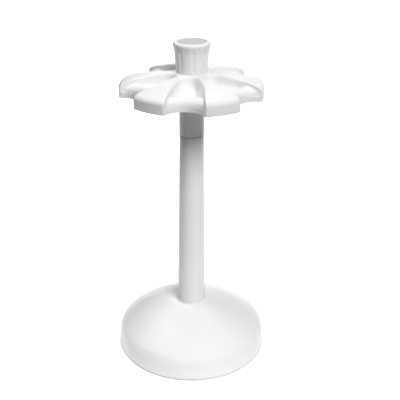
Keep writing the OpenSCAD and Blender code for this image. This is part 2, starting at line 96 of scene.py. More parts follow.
# sections of the head
KNOB_SEAT = 14.9 * MM     # the head is level as far out as the knob stands on it
HUB_EDGE = 14.0 * MM      # its skin ends here, hidden by the knob's foot
FLOOR_FILLET, UNDER_FILLET = 6.0 * MM, 1.0 * MM    # at the foot of a channel's wall, and beneath
EDGE_ROUND, UNDER_EDGE = 3.2 * MM, 0.6 * MM        # along the top of that wall, and beneath
FILLET_SHARE, EDGE_SHARE = 0.4, 0.3                # no more than these shares of its height
WALL_DRAFT = np.radians(1.5)
BULGE, BULGE_ROWS = 0.4 * MM, 3.0   # arcs lie this much further in on the axis, fading by the row
BLEND_NEAR, BLEND_FAR = 34 * MM, 47.8 * MM   # from the scallop: rows turn from arcs to lines
TIP_ROUND = 2.2 * MM      # rounding of a lobe's tips in plan
TIP_PULL, TIP_REACH = 0.33, 0.87    # shares of it: how far a tip moves in, and how far round
SKIRT_EDGE = 0.4 * MM     # rounding of the skirt's foot
SKIRT_RISE = (1.0, 0.93, 0.8, 0.6, 0.35, 0.15, 0.0)   # rows of the skirt, by share of its height
RIB_STEPS = 8             # a rib's top follows the dome in so many steps

# knob, cap and feet
SIDE_STEPS = 45           # up the knob's side
FLUTE_LOW, FLUTE_HIGH = 4 * MM, 0.72    # above the knob's foot, and as a share of its height
CAP_THICK = 2.2 * MM
FOOT_PLACE = 58 * MM * np.cos(np.pi / 4)    # a foot's centre is this far from both axes


# ---------------------------------------------------------------- settings

def linear(text):
    """Turn an sRGB hex colour, by the sRGB curve, into linear red, green, blue and full alpha."""
    part = np.array([int(text[i:i + 2], 16) for i in (1, 3, 5)]) / 255
    light = np.where(part <= 0.04045, part / 12.92, ((part + 0.055) / 1.055) ** 2.4)
    return (*light.tolist(), 1.0)


def length(name, description, default):
    """A size that a user may change, in metres."""
    return FloatProperty(name=name, description=description, default=default,
                         min=0, subtype="DISTANCE", unit="LENGTH", precision=5)


def colour(name, description, default):
    """A colour that a user may change."""
    return FloatVectorProperty(name=name, description=description, default=linear(default),
                               min=0, max=1, size=4, subtype="COLOR")


class BaseSizes(bpy.types.PropertyGroup):
    """Sizes of the weighted base and its pole."""
    radius: length("Radius", "Radius of the base at its rim", BASE_R)
    draft: FloatProperty(name="Draft", description="Lean of the base's side wall",
                         default=np.radians(2.5), subtype="ANGLE", unit="ROTATION")
    crown_radius: length("Crown radius", "Radius of the domed top", 115 * MM)
    crown_height: length("Crown height", "Height of the dome where it meets the pole", 50.4 * MM)
    shoulder: length("Shoulder", "Radius between side and dome", 12 * MM)
    wall: length("Wall", "Thickness of the moulding", 3 * MM)
    collar: length("Collar", "Radius of the fillet round the pole", 2.4 * MM)
    pole_foot: length("Pole foot", "Radius of the pole where it leaves the base", 14.4 * MM)
    pole_top: length("Pole top", "Radius of the pole at its top", 12.05 * MM)


class HeadSizes(bpy.types.PropertyGroup):
    """Sizes of the scalloped head."""
    stations: IntProperty(name="Stations", description="Places for pipettes", default=6, min=3)
    radius: length("Radius", "Radius over the lobes", 69.6 * MM)
    skirt: length("Skirt", "Height of the outer wall", 13.6 * MM)
    wall: length("Wall", "Thickness of the moulding", 2.4 * MM)
    rim_round: length("Rim round", "Radius of the outer edge", 3.6 * MM)
    scallop_radius: length("Scallop radius", "Radius of each scallop", 20 * MM)
    scallop_centre: length("Scallop centre", "Distance from axis to scallop centre", 74.8 * MM)
    pocket_floor: length("Pocket floor", "Pocket floor above the skirt's foot", 7.7 * MM)
    pocket_centre: length("Pocket centre", "Distance from axis to the pocket's end", 27 * MM)
    side_radius: length("Side radius", "Radius of the channel's side walls", 165 * MM)
    side_x: length("Side place", "Distance from axis to where the sides run parallel", 81.6 * MM)
    channel_half: length("Channel half", "Half width of the channel at its widest", 18.7 * MM)
    saddle_height: length("Saddle height", "Crest of the saddle above the foot", 12.4 * MM)
    saddle_edge: length("Saddle edge", "Saddle at the scallop above the foot", 5.2 * MM)
    saddle_width: length("Saddle width", "Width of the saddle's rounded front", 7.6 * MM)
    saddle_land: length("Saddle land", "Width of the saddle's level crest", 1 * MM)
    saddle_slope: length("Saddle slope", "Width of the slope behind the crest", 4 * MM)


class KnobSizes(bpy.types.PropertyGroup):
    """Sizes of the fluted knob and its cap."""
    foot: length("Foot", "Radius where the knob stands on the head", KNOB_SEAT)
    rim: length("Rim", "Radius at the top", KNOB_R + KNOB_FLARE)
    rim_round: length("Rim round", "Radius of the top edge", 2.4 * MM)
    rim_lean: FloatProperty(name="Rim lean", description="Outward lean of the side at its top",
                            default=np.radians(19), subtype="ANGLE", unit="ROTATION")
    bow: length("Bow", "How far the side bows inwards", 1.7 * MM)
    bore: length("Bore", "Radius of the hollow", 12.9 * MM)
    flutes: IntProperty(name="Flutes", description="Finger flutes round the knob",
                        default=8, min=3)
    flute_radius: length("Flute radius", "Radius of each flute", 3.4 * MM)
    flute_depth: length("Flute depth", "Depth of each flute", 0.6 * MM)
    flute_turn: FloatProperty(name="Flute turn", description="Angle of the first flute",
                              default=np.radians(10.3), subtype="ANGLE", unit="ROTATION")


class StandColours(bpy.types.PropertyGroup):
    """Colours of the plastics and metals."""
    moulding: colour("Moulding", "Gloss white ABS of the shells", "#EDEDED")
    cap: colour("Cap", "Cool grey of the disc in the knob", "#C0C2C5")
    zinc: colour("Zinc", "Zinc plate on the fasteners", "#C4C6C8")
    iron: colour("Iron", "Cast iron of the ballast", "#4B4B4D")
    rubber: colour("Rubber", "Rubber of the feet", "#232325")
    acetal: colour("Acetal", "Natural acetal of the bushes", "#E6E3DA")


# ---------------------------------------------------------------- surfaces

def bend(x, z, radius, start, end, steps):
    """Arc of an outline: x + radius·cos a, z + radius·sin a, a from start to end in degrees."""
    a = np.radians(np.linspace(start, end, steps + 1))
    return np.column_stack([x + radius * np.cos(a), z + radius * np.sin(a)])


def grid_quads(rows, columns, wrap=False):
    """Corner numbers of the cells of a grid; wrap joins its last row and column to its first."""
    i, j = np.meshgrid(np.arange(rows if wrap else rows - 1),
                       np.arange(columns if wrap else columns - 1), indexing="ij")
    down, right = (i + 1) % rows, (j + 1) % columns
    corners = [i * columns + j, i * columns + right, down * columns + right, down * columns + j]
    return np.stack(corners, axis=-1).reshape(-1, 4)


def lathe(outline, turns, cut=None):
    """Turn a closed (r, z) outline round Z: x = r cos a, y = r sin a.

    cut, where given, takes (a, z, r) arrays and returns the depth to take off r.
    """
    a = np.linspace(0, 2 * np.pi, turns, endpoint=False)[None, :]
    r, z = outline[:, :1] + 0 * a, outline[:, 1:] + 0 * a
    if cut is not None:
        r = r - cut(a, z, r)
    grid = np.stack([r * np.cos(a), r * np.sin(a), z], axis=-1)
    return grid.reshape(-1, 3), grid_quads(*grid.shape[:2], wrap=True)


def moved(patch, x, y):
    """The same patch carried sideways."""
    return patch[0] + np.array([x, y, 0.0]), patch[1]


def piece(name, patches, body, material, nodes, sharp=32):
    """Weld patches of points and quads into one closed mesh that stands for CAD nodes.

    Edges that turn by more than sharp degrees stay sharp.
    """
    starts = np.cumsum([0] + [len(points) for points, _ in patches[:-1]])
    points = np.concatenate([points for points, _ in patches])
    quads = np.concatenate([quads + start for (_, quads), start in zip(patches, starts)])
    mesh = bpy.data.meshes.new(name)
    mesh.from_pydata(points, [], quads)
    made = bmesh.new()
    made.from_mesh(mesh)
    bmesh.ops.remove_doubles(made, verts=made.verts, dist=WELD)
    bmesh.ops.dissolve_degenerate(made, edges=made.edges, dist=WELD / 10)
    bmesh.ops.recalc_face_normals(made, faces=made.faces)
    made.to_mesh(mesh)
    made.free()
    mesh.shade_smooth()
    mesh.set_sharp_from_angle(angle=np.radians(sharp))
    mesh.materials.append(material)
    thing = bpy.data.objects.new(name, mesh)
    bpy.context.scene.collection.objects.link(thing)
    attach(thing, body)
    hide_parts(*nodes)
    return thing


# ---------------------------------------------------------------- base and pole

def base_outline(s):
    """Closed outline of the base shell: side, shoulder, dome, collar, socket, then its inside."""
    crown_z = s.crown_height - np.sqrt(s.crown_radius ** 2 - s.pole_foot ** 2)
    lean = np.degrees(s.draft)

    def dome(inset, inner_r):
        """Shoulder and crown arcs at an inset, from the side wall in to inner_r.

        The shoulder's centre is its own radius inside the wall's line, and as far from the
        crown's centre as the two radii differ.
        """
        turn, big = s.shoulder - inset, s.crown_radius - inset
        foot = np.array([s.radius - inset - turn * np.cos(s.draft),
                         BASE_LOW - turn * np.sin(s.draft)])
        way = np.array([-np.sin(s.draft), np.cos(s.draft)])
        from_crown = foot - np.array([0, crown_z])
        along = way @ from_crown
        rise = -along + np.sqrt(along ** 2 - from_crown @ from_crown + (big - turn) ** 2)
        centre = foot + rise * way
        tilt = np.degrees(np.arctan2(centre[1] - crown_z, centre[0]))
        inner = np.degrees(np.arccos(inner_r / big))
        return np.vstack([bend(*centre, turn, lean, tilt, steps=14),
                          bend(0, crown_z, big, tilt, inner, steps=40)[1:]])

    edge, hole = 0.35 * MM, 3.3 * MM
    lip_gap, socket_gap, socket_taper = 0.1 * MM, 0.45 * MM, 0.3 * MM
    socket_wall, socket_floor = 3 * MM, 3 * MM
    off_dome, off_pole = 268, 184     # degrees: the collar ends just short of dome and pole
    collar_r = s.pole_foot + s.collar
    outside = dome(0, collar_r)
    lip_z = outside[-1, 1] + s.collar
    socket_r = s.pole_foot + socket_gap
    tube_r, tube_z = socket_r + socket_wall, POLE_LOW - socket_floor
    return np.vstack([
        bend(s.radius - edge, BASE_LOW + edge, edge, -90, lean, steps=5),
        outside,
        bend(collar_r, lip_z, s.collar, off_dome, off_pole, steps=8),
        [[s.pole_foot + lip_gap, lip_z], [socket_r - socket_taper, POLE_LOW],
         [hole, POLE_LOW], [hole, tube_z], [tube_r, tube_z]],
        dome(s.wall, tube_r)[::-1],
        [[s.radius - s.wall, BASE_LOW]],
    ])


def foot_outline():
    """Closed outline of one rubber foot: a disc with a rounded lower edge and a dished face."""
    radius = FOOT_HIGH.x - FOOT_PLACE
    edge, dish = 0.6 * MM, 0.3 * MM
    dish_r, tread_r = 0.55 * radius, 0.6 * radius
    return np.vstack([
        [[0, FOOT_LOW.z + dish], [dish_r, FOOT_LOW.z + dish], [tread_r, FOOT_LOW.z]],
        bend(radius - edge, FOOT_LOW.z + edge, edge, -90, 0, steps=5),
        [[radius, FOOT_HIGH.z], [0, FOOT_HIGH.z]],
    ])


def pole_outline(s):
    """Closed outline of the tapered tube, with a small rounding at its closed top."""
    taper = (s.pole_foot - s.pole_top) / (POLE_HIGH - s.crown_height)
    foot_r = s.pole_foot + (s.crown_height - POLE_LOW) * taper
    wall, lid, edge, hole = 3 * MM, 8 * MM, 0.6 * MM, 5.1 * MM
    under = POLE_HIGH - lid
    return np.vstack([
        [[foot_r - wall, POLE_LOW], [foot_r, POLE_LOW], [s.pole_foot, s.crown_height]],
        bend(s.pole_top - edge, POLE_HIGH - edge, edge, 0, 90, steps=5),
        [[hole, POLE_HIGH], [hole, under], [s.pole_top + lid * taper - wall, under]],
    ])


def sleeve_outline():
    """Closed outline of the neck sleeve, chamfered at its foot and bored wider there."""
    bore, edge = 7.6 * MM, 0.5 * MM
    wide_r, wide_z = 9.8 * MM, SLEEVE_LOW + 4.1 * MM
    radius = SLEEVE_R - SLEEVE_SLIM
    return np.array([[bore, wide_z], [wide_r, wide_z], [wide_r, SLEEVE_LOW],
                     [radius - edge, SLEEVE_LOW], [radius, SLEEVE_LOW + edge],
                     [radius, SLEEVE_HIGH], [bore, SLEEVE_HIGH]])


# ---------------------------------------------------------------- head

def soft_step(t):
    """Rise from 0 to 1 with level ends: t²(3 - 2t), for t held between 0 and 1."""
    t = np.clip(t, 0, 1)
    return t * t * (3 - 2 * t)


def meet(centre, radius, r):
    """Upper points at distance r from the axis and radius from centre, for an array r."""
    far = np.hypot(*centre)
    along = (r ** 2 - radius ** 2 + far ** 2) / (2 * far)
    across = np.sqrt(r ** 2 - along ** 2)
    ux, uy = centre[0] / far, centre[1] / far
    return np.stack([along * ux - across * uy, along * uy + across * ux], axis=-1)


def dome_height(s, r, inset):
    """Top of the lobes: level round the hub, an arc out to the rim, and the rim's rounding."""
    span = s.radius - s.rim_round - KNOB_SEAT
    rise = HEAD_HIGH - HEAD_LOW - s.skirt
    arc_r = (span ** 2 + rise ** 2) / (2 * rise)
    out = np.clip(r - KNOB_SEAT, 0, None)
    top = HEAD_HIGH - arc_r + np.sqrt(arc_r ** 2 - out ** 2)
    near = np.clip(s.rim_round - (s.radius - inset - r), 0, s.rim_round)
    return top - inset - s.rim_round + np.sqrt(s.rim_round ** 2 - near ** 2)


def floor_height(s, x, y, inset):
    """Floor of a channel by its distance from the scallop: rounded front, crest, slope, pocket."""
    d = np.hypot(x - s.scallop_centre, y)
    rise = s.saddle_height - s.saddle_edge
    crest_d = s.scallop_radius + s.saddle_width
    crest_z = HEAD_LOW + s.saddle_height
    into = np.clip(crest_d - d, 0, s.saddle_width)
    front = crest_z - rise + rise * np.sqrt(1 - (into / s.saddle_width) ** 2)
    slope = soft_step((d - crest_d - s.saddle_land) / s.saddle_slope)
    return front - slope * (crest_z - HEAD_LOW - s.pocket_floor) - inset


def station_plan(s, inset):
    """Centres and radii of one station's arcs in plan, with the channel along +X."""
    side = np.array([s.side_x, s.channel_half - s.side_radius])
    side_r = s.side_radius + inset
    return SimpleNamespace(
        radius=s.radius - inset, side=side, side_r=side_r,
        scallop=np.array([s.scallop_centre, 0]), end=np.array([s.pocket_centre, 0]),
        end_r=side[1] + np.sqrt(side_r ** 2 - (s.side_x - s.pocket_centre) ** 2),
        pitch=np.pi / s.stations)


def row_ends(s, plan):
    """Point of each row on the wall, and the radius and angle where it ends across the lobe.

    Outer rows leave the side wall at radii that follow the rim's rounding and then run evenly
    in to the pocket's end, and they end on the ray halfway between two stations. The other
    rows fan out round the pocket's end: they end on that ray as far in as the hub's edge, and
    then along this edge. The last value returned is the number of outer rows.
    """
    turn = np.radians(np.linspace(0, 90, RIM_STEPS + 1))
    rim = plan.radius - s.rim_round * (1 - np.cos(turn))
    last_r = np.hypot(s.pocket_centre, plan.end_r)
    wall_r = np.concatenate([rim, np.linspace(rim[-1], last_r, WALL_STEPS + 1)[1:]])
    wall = meet(plan.side, plan.side_r, wall_r)
    wall[-1] = [s.pocket_centre, plan.end_r]
    ray_r = s.pocket_centre / np.cos(plan.pitch)
    share = (wall_r - last_r) / (plan.radius - last_r)
    far_r = ray_r + (plan.radius - ray_r) * share

    corner = np.arctan2(HUB_EDGE * np.sin(plan.pitch),
                        s.pocket_centre - HUB_EDGE * np.cos(plan.pitch))
    fan = np.concatenate([np.linspace(np.pi / 2, corner, FAN_STEPS + 1)[1:],
                          np.linspace(corner, 0, HUB_STEPS + 1)[1:]])
    spokes = np.stack([-np.cos(fan), np.sin(fan)], axis=-1)
    out = s.pocket_centre * np.sin(plan.pitch) / np.sin(fan.clip(corner) + plan.pitch)
    on_ray = plan.end + out[:, None] * spokes
    meets_ray = np.arange(len(fan)) < FAN_STEPS
    fan_r = np.where(meets_ray, np.hypot(*on_ray.T), HUB_EDGE)
    fan_a = np.where(meets_ray, plan.pitch, plan.pitch * fan / corner)

    return (np.vstack([wall, plan.end + plan.end_r * spokes]),
            np.concatenate([far_r, fan_r]),
            np.concatenate([np.full(len(wall_r), plan.pitch), fan_a]), len(wall_r))


def channel_side(s, plan, start, outer, fillet, straight):
    """Plan of the channel's columns and how far each is up the wall, from its axis to its edge.

    Each column keeps its distance n from the wall's top line. Outer rows are arcs about the
    scallop that pass into straight lines across, and the others are spokes of the fan.
    """
    count = np.arange(len(start))
    over_floor = np.linspace(0, 1, FLOOR_STEPS + 1)[None, :-1]
    turn = np.radians(np.linspace(0, 90, FILLET_STEPS + 1))[None, :]
    up_wall = np.array([[1 / 3, 2 / 3]])
    d_wall = np.hypot(*(start - plan.scallop).T)
    d_mid = d_wall + BULGE * np.exp(-count / BULGE_ROWS)
    mid_x = np.where(count < outer, plan.scallop[0] - d_mid, plan.end[0])
    width = np.where(count < outer,
                     plan.side_r - np.hypot(mid_x - plan.side[0], plan.side[1]),
                     plan.end_r)[:, None]
    foot_n = np.tan(WALL_DRAFT) * straight
    n = np.hstack([width + (foot_n + fillet - width) * over_floor,
                   foot_n + fillet * (1 - np.sin(turn)),
                   foot_n * (1 - up_wall)])
    lift = np.hstack([0 * over_floor + 0 * fillet,
                      fillet * (1 - np.cos(turn)),
                      fillet + straight * up_wall])
    on_axis = np.arange(n.shape[1])[None, :] == 0

    apart = np.hypot(*(plan.scallop - plan.side))
    tilt = np.arctan2(plan.side[0] - plan.scallop[0], plan.scallop[1] - plan.side[1])
    d = d_wall[:, None] + (d_mid - d_wall)[:, None] * (n / width)
    sine = ((plan.side_r - n) ** 2 - apart ** 2 - d ** 2) / (2 * d * apart)
    psi = np.where(on_axis, 0, np.arcsin(np.clip(sine, -1, 1)) - tilt)
    arcs = np.stack([plan.scallop[0] - d * np.cos(psi), d * np.sin(psi)], axis=-1)

    x = start[:, :1] + 0 * n
    y = plan.side[1] + np.sqrt(np.clip((plan.side_r - n) ** 2 - (s.side_x - x) ** 2, 0, None))
    lines = np.stack([x, np.where(on_axis, 0, y)], axis=-1)

    blend = soft_step((d_mid - BLEND_NEAR) / (BLEND_FAR - BLEND_NEAR))[:, None, None]
    spokes = (start - plan.end) / plan.end_r
    fan = plan.end + (plan.end_r - n)[..., None] * spokes[:, None, :]
    in_fan = (count >= outer - 1)[:, None, None]
    return np.where(in_fan, fan, (1 - blend) * arcs + blend * lines), lift


def lobe_side(start, far_r, far_a, edge):
    """Radius, angle and drop of the lobe's columns, from the wall's edge to its far side.

    Radius and angle run evenly from the wall to the row's end, and the first columns drop
    round the edge by a quarter circle.
    """
    turn = np.radians(np.linspace(0, 90, EDGE_STEPS + 1))[None, :]
    over_land = np.linspace(0, 1, LAND_STEPS + 1)[None, 1:] ** LAND_SPREAD
    start_r = np.hypot(*start.T)[:, None]
    start_a = np.arctan2(start[:, 1], start[:, 0])[:, None]
    far = np.stack([far_r * np.cos(far_a), far_r * np.sin(far_a)], axis=-1)
    gap = np.hypot(*(far - start).T)[:, None]
    way = np.hstack([edge * (1 - np.cos(turn)), edge + (gap - edge) * over_land]) / gap
    drop = np.hstack([edge * (1 - np.sin(turn)), 0 * over_land + 0 * edge])
    return (start_r + (far_r[:, None] - start_r) * way,
            start_a + (far_a[:, None] - start_a) * way, drop)


def soften_tip(points, tip, scallop):
    """Move points near the lobe's tip in along its bisector, by the square of their nearness."""
    to_scallop = (scallop - tip) / np.hypot(*(scallop - tip))
    bisector = -(to_scallop + tip / np.hypot(*tip))
    bisector /= np.hypot(*bisector)
    away = np.hypot(*np.moveaxis(points - tip, -1, 0))
    pull = TIP_ROUND * TIP_PULL * np.clip(1 - away / (TIP_ROUND * TIP_REACH), 0, None) ** 2
    return points + pull[..., None] * bisector


def half_station(s, inset):
    """Grid over half a station, channel along +X: rows run rim to hub, columns channel to lobe.

    A row crosses the floor, the fillet at the wall's foot, the leaning wall, the rounded
    edge and the lobe. On the floor and the lobe the heights are those of floor_height and
    dome_height, and between them they count up from the wall's foot.
    """
    plan = station_plan(s, inset)
    start, far_r, far_a, outer = row_ends(s, plan)
    foot_z = floor_height(s, start[:, 0], start[:, 1], inset)
    tall = dome_height(s, np.hypot(*start.T), inset) - foot_z
    fillet, edge = (FLOOR_FILLET, EDGE_ROUND) if inset == 0 else (UNDER_FILLET, UNDER_EDGE)
    fillet = np.minimum(fillet, FILLET_SHARE * tall)[:, None]
    edge = np.minimum(edge, EDGE_SHARE * tall)[:, None]

    channel, lift = channel_side(s, plan, start, outer, fillet, tall[:, None] - fillet - edge)
    channel_z = np.where(lift > 0, foot_z[:, None] + lift,
                         floor_height(s, channel[..., 0], channel[..., 1], inset))
    r, a, drop = lobe_side(start, far_r, far_a, edge)
    lobe = np.stack([r * np.cos(a), r * np.sin(a)], axis=-1)
    lobe_z = dome_height(s, r, inset) - drop

    points = soften_tip(np.concatenate([channel, lobe], axis=1), start[0], plan.scallop)
    z = np.concatenate([channel_z, lobe_z], axis=1)
    return np.concatenate([points, z[..., None]], axis=-1), outer


def copies(grid, stations):
    """Mirror a half station across its channel and repeat it round the axis."""
    flipped = grid * np.array([1, -1, 1])
    made = []
    for half in (grid, flipped):
        quads = grid_quads(*half.shape[:2])
        for k in range(stations):
            a = FRONT + 2 * np.pi * k / stations
            turn = np.array([[np.cos(a), np.sin(a), 0], [-np.sin(a), np.cos(a), 0], [0, 0, 1]])
            made.append((half.reshape(-1, 3) @ turn, quads))
    return made


def skirt_grid(outside, inside):
    """Skirt between the outer rows of the two skins: down outside, under its foot, up inside."""
    outer_xy, inner_xy = outside[:, :2], inside[:, :2]
    inward = inner_xy - outer_xy
    inward = inward / np.hypot(*inward.T)[:, None]
    edge_z = HEAD_LOW + SKIRT_EDGE
    corner = SKIRT_EDGE * 0.3         # where its rounding is halfway round
    rows = [(outer_xy, edge_z + (outside[:, 2] - HEAD_LOW - SKIRT_EDGE) * rise)
            for rise in SKIRT_RISE]
    rows += [(outer_xy + corner * inward, HEAD_LOW + corner),
             (outer_xy + SKIRT_EDGE * inward, HEAD_LOW), (inner_xy, HEAD_LOW)]
    rows += [(inner_xy, HEAD_LOW + (inside[:, 2] - HEAD_LOW) * rise)
             for rise in SKIRT_RISE[::-1][1:]]
    return np.stack([np.column_stack([xy, np.broadcast_to(z, len(xy))]) for xy, z in rows])


def head_patches(s):
    """Skin over the head, its skirt, the skin beneath and the ring that joins them at the hub."""
    top, outer = half_station(s, 0.0)
    under, _ = half_station(s, s.wall)
    hub_row = outer - 1 + FAN_STEPS
    ring = np.stack([top[hub_row:, -1], under[hub_row:, -1]], axis=1)
    made = []
    for grid in (top, skirt_grid(top[0], under[0]), under, ring):
        made += copies(grid, s.stations)
    return made


def hub_outline(s):
    """Closed outline of the hub: the tube round the neck sleeve and the plate over it.

    The plate passes under the skin's inner edge and comes up inside it to just below the top.
    """
    bore, tube = SLEEVE_R - SLEEVE_SLIM + PLAY, SLEEVE_R + PLAY + s.wall
    plate_z, hole, edge = HEAD_HIGH - 3 * MM, 8.3 * MM, 0.4 * MM
    under, rim, top = HEAD_HIGH - 1.2 * MM, HUB_EDGE + 0.3 * MM, HEAD_HIGH - 0.05 * MM
    return np.vstack([
        [[bore, HEAD_LOW]],
        bend(tube - edge, HEAD_LOW + edge, edge, -90, 0, steps=4),
        [[tube, under], [rim, under], [rim, top], [hole, top], [hole, plate_z],
         [bore, plate_z]],
    ])


def rib(angle, corners, thick):
    """Upright plate along a ray: four (r, z) corners as two faces thick apart, closed round."""
    ring = np.array(corners)
    away = np.array([np.cos(angle), np.sin(angle)])
    side = np.array([-away[1], away[0]])
    faces = [np.hstack([ring[:, :1] * away + offset * side, ring[:, 1:]])
             for offset in (-thick / 2, thick / 2)]
    around = np.arange(len(ring))
    after = (around + 1) % len(ring)
    walls = np.column_stack([around, after, after + len(ring), around + len(ring)])
    lids = np.array([[0, 1, 2, 3], [7, 6, 5, 4]])
    return np.vstack(faces), np.vstack([walls, lids])


def head_ribs(s):
    """Stiffening plates under the lobes, from the hub's tube out to the skirt."""
    thick, low, middle = 2 * MM, HEAD_LOW + 2 * MM, 0.5 * s.wall
    r = np.linspace(SLEEVE_R + PLAY + middle, s.radius - middle, RIB_STEPS + 1)
    top = dome_height(s, r, middle)
    made = []
    for k in range(s.stations):
        angle = FRONT + (k + 0.5) * 2 * np.pi / s.stations
        for a, b, za, zb in zip(r[:-1], r[1:], top[:-1], top[1:]):
            made.append(rib(angle, [[a, low], [b, low], [b, zb], [a, za]], thick))
    return made


# ---------------------------------------------------------------- knob

def knob_outline(s):
    """Closed outline of the knob: foot, bowed side, rounded rim, seat of the cap and hollow.

    At the share u of its height the side's radius is foot + (rim - foot)u - 4 bow u²(1 - u).
    """
    tall = KNOB_HIGH - KNOB_LOW
    rim_u = 1 - s.rim_round * (1 + np.sin(s.rim_lean)) / tall
    u = np.linspace(0, rim_u, SIDE_STEPS + 1)
    side = s.foot + (s.rim - s.foot) * u - s.bow * 4 * u * (1 - u) * u
    seat, seat_z = CAP_R - CAP_SHY + PLAY, CAP_HIGH - CAP_THICK
    floor, hole, lip = KNOB_LOW + 3 * MM, 8.2 * MM, 0.25 * MM
    return np.vstack([
        [[hole, KNOB_LOW]],
        np.column_stack([side, KNOB_LOW + tall * u]),
        bend(side[-1] - s.rim_round * np.cos(s.rim_lean), KNOB_HIGH - s.rim_round, s.rim_round,
             -np.degrees(s.rim_lean), 90, steps=12)[1:],
        bend(seat + lip, KNOB_HIGH - lip, lip, 90, 180, steps=4),
        [[seat, seat_z], [s.bore, seat_z], [s.bore, floor], [hole, floor]],
    ])


def flute_cut(s):
    """Depth of the finger flutes: a ball of the flute's radius swept up the leaning side."""
    low = KNOB_LOW + FLUTE_LOW
    high = KNOB_LOW + FLUTE_HIGH * (KNOB_HIGH - KNOB_LOW)
    step = 2 * np.pi / s.flutes
    outside = s.bore + 1 * MM         # the hollow isn't cut

    def depth(a, z, r):
        """Depth of the cut at angle a, height z and radius r."""
        across = r * np.sin((a - s.flute_turn + step / 2) % step - step / 2)
        past = np.clip(np.maximum(low - z, z - high), 0, None)
        near = np.clip(s.flute_radius ** 2 - across ** 2 - past ** 2, 0, None)
        cut = np.clip(np.sqrt(near) - (s.flute_radius - s.flute_depth), 0, None)
        return np.where(r > outside, cut, 0)

    return depth


def cap_outline():
    """Closed outline of the cap: a disc with a soft edge over a short snap skirt."""
    edge, skirt_r, skirt_wall = 0.45 * MM, 12.8 * MM, 1.3 * MM
    radius, under = CAP_R - CAP_SHY, CAP_HIGH - CAP_THICK
    return np.vstack([
        [[0, under], [skirt_r - skirt_wall, under], [skirt_r - skirt_wall, CAP_LOW],
         [skirt_r, CAP_LOW], [skirt_r, under], [radius, under]],
        bend(radius - edge, CAP_HIGH - edge, edge, 0, 90, steps=6),
        [[0, CAP_HIGH]],
    ])


# ---------------------------------------------------------------- materials

def add_node(tree, kind, values=None, links=None, **settings):
    """Add a node, set its socket values and settings, and link its inputs."""
    node = tree.nodes.new(kind)
    for key, value in settings.items():
        setattr(node, key, value)
    for key, value in (values or {}).items():
        node.inputs[key].default_value = value
    for key, source in (links or {}).items():
        tree.links.new(source, node.inputs[key])
    return node


def new_material(name):
    """An empty material and its tree."""
    made = bpy.data.materials.new(name)
    made.use_nodes = True
    made.node_tree.nodes.clear()
    return made, made.node_tree


def finish(name, tone, vary, rough, bump, noises, shader):
    """Surface whose tint, roughness and relief each follow a noise on Object coordinates.

    vary is the share by which the tint strays either side of its tone, rough the lowest and
    highest roughness, and bump the strength and height of the relief. noises holds, for each
    of the three, the size of the lumps in metres, their detail and how much finer they are
    along Z. shader holds the values that are the same all over.
    """
    made, tree = new_material(name)
    place = add_node(tree, "ShaderNodeTexCoord")
    heights = {}
    for size, detail, finer in dict.fromkeys(noises):
        scaled = add_node(tree, "ShaderNodeMapping", {"Scale": (1, 1, finer)},
                          {"Vector": place.outputs["Object"]})
        noise = add_node(tree, "ShaderNodeTexNoise", {"Scale": 1 / size, "Detail": detail},
                         {"Vector": scaled.outputs["Vector"]})
        heights[size, detail, finer] = noise.outputs["Fac"]
    for_tint, for_rough, for_bump = (heights[noise] for noise in noises)
    dark, light = ((*(min(part * share, 1.0) for part in tone[:3]), 1.0)
                   for share in (1 - vary, 1 + vary))
    tint = add_node(tree, "ShaderNodeMix", {"A": dark, "B": light}, {"Factor": for_tint},
                    data_type="RGBA", blend_type="MIX")
    sheen = add_node(tree, "ShaderNodeMapRange", {"To Min": rough[0], "To Max": rough[1]},
                     {"Value": for_rough})
    relief = add_node(tree, "ShaderNodeBump", {"Strength": bump[0], "Distance": bump[1]},
                      {"Height": for_bump})
    skin = add_node(tree, "ShaderNodeBsdfPrincipled", shader,
                    {"Base Color": tint.outputs["Result"], "Roughness": sheen.outputs["Result"],
                     "Normal": relief.outputs["Normal"]})
    add_node(tree, "ShaderNodeOutputMaterial", links={"Surface": skin.outputs[0]})
    return made


def moulded_abs(tone):
    """Injection-moulded ABS, polished tool: gloss with a trace of flow and very fine ripple."""
    flow, ripple = (26 * MM, 2.0, 1), (1.6 * MM, 3.0, 1)
    return finish("moulded_abs_white", tone, vary=0.008, rough=(0.26, 0.33),
                  bump=(0.05, 0.1 * MM), noises=(flow, flow, ripple),
                  shader={"IOR": 1.53, "Specular IOR Level": 0.5})


def matte_polymer(name, tone, rough, lump):
    """Matte moulded polymer with the fine even grain of a spark-eroded tool.

    Real grain, about 0.1 mm, is too fine to show, so it is drawn with lumps of the size lump.
    """
    spread = 0.05           # of the roughness, either side
    return finish(name, tone, vary=0.02, rough=(rough - spread, rough + spread),
                  bump=(0.15, 0.05 * MM), noises=((lump, 3.0, 1),) * 3, shader={"IOR": 1.48})


def zinc_plate(tone):
    """Zinc-plated steel: bright metal with fine turning lines round each shaft.

    Real lines lie about 0.1 mm apart, too fine to show, so they are drawn three times as wide.
    """
    cloud, lines = (6 * MM, 3.0, 1), (4 * MM, 2.0, 12)
    return finish("zinc_plated_steel", tone, vary=0.06, rough=(0.22, 0.42),
                  bump=(0.2, 0.03 * MM), noises=(cloud, lines, lines), shader={"Metallic": 1.0})


def cast_iron(tone):
    """Grey cast iron: dull, with the pebbled skin that sand leaves.

    Real grains are about 0.3 mm, too fine to show, so they are drawn four times as large.
    """
    sand = (1.2 * MM, 4.0, 1)
    return finish("grey_cast_iron", tone, vary=0.2, rough=(0.55, 0.8), bump=(0.6, 0.2 * MM),
                  noises=(sand,) * 3, shader={"Metallic": 0.8})


# ---------------------------------------------------------------- operators

class StandOperator:
    """What the operators share: each can be undone."""
    bl_options = {"REGISTER", "UNDO"}


def material(name):
    """A material that the finishes operator has made."""
    found = bpy.data.materials.get(name)
    if found is None:
        raise RuntimeError(f"make the finishes first: {name} is missing")
    return found


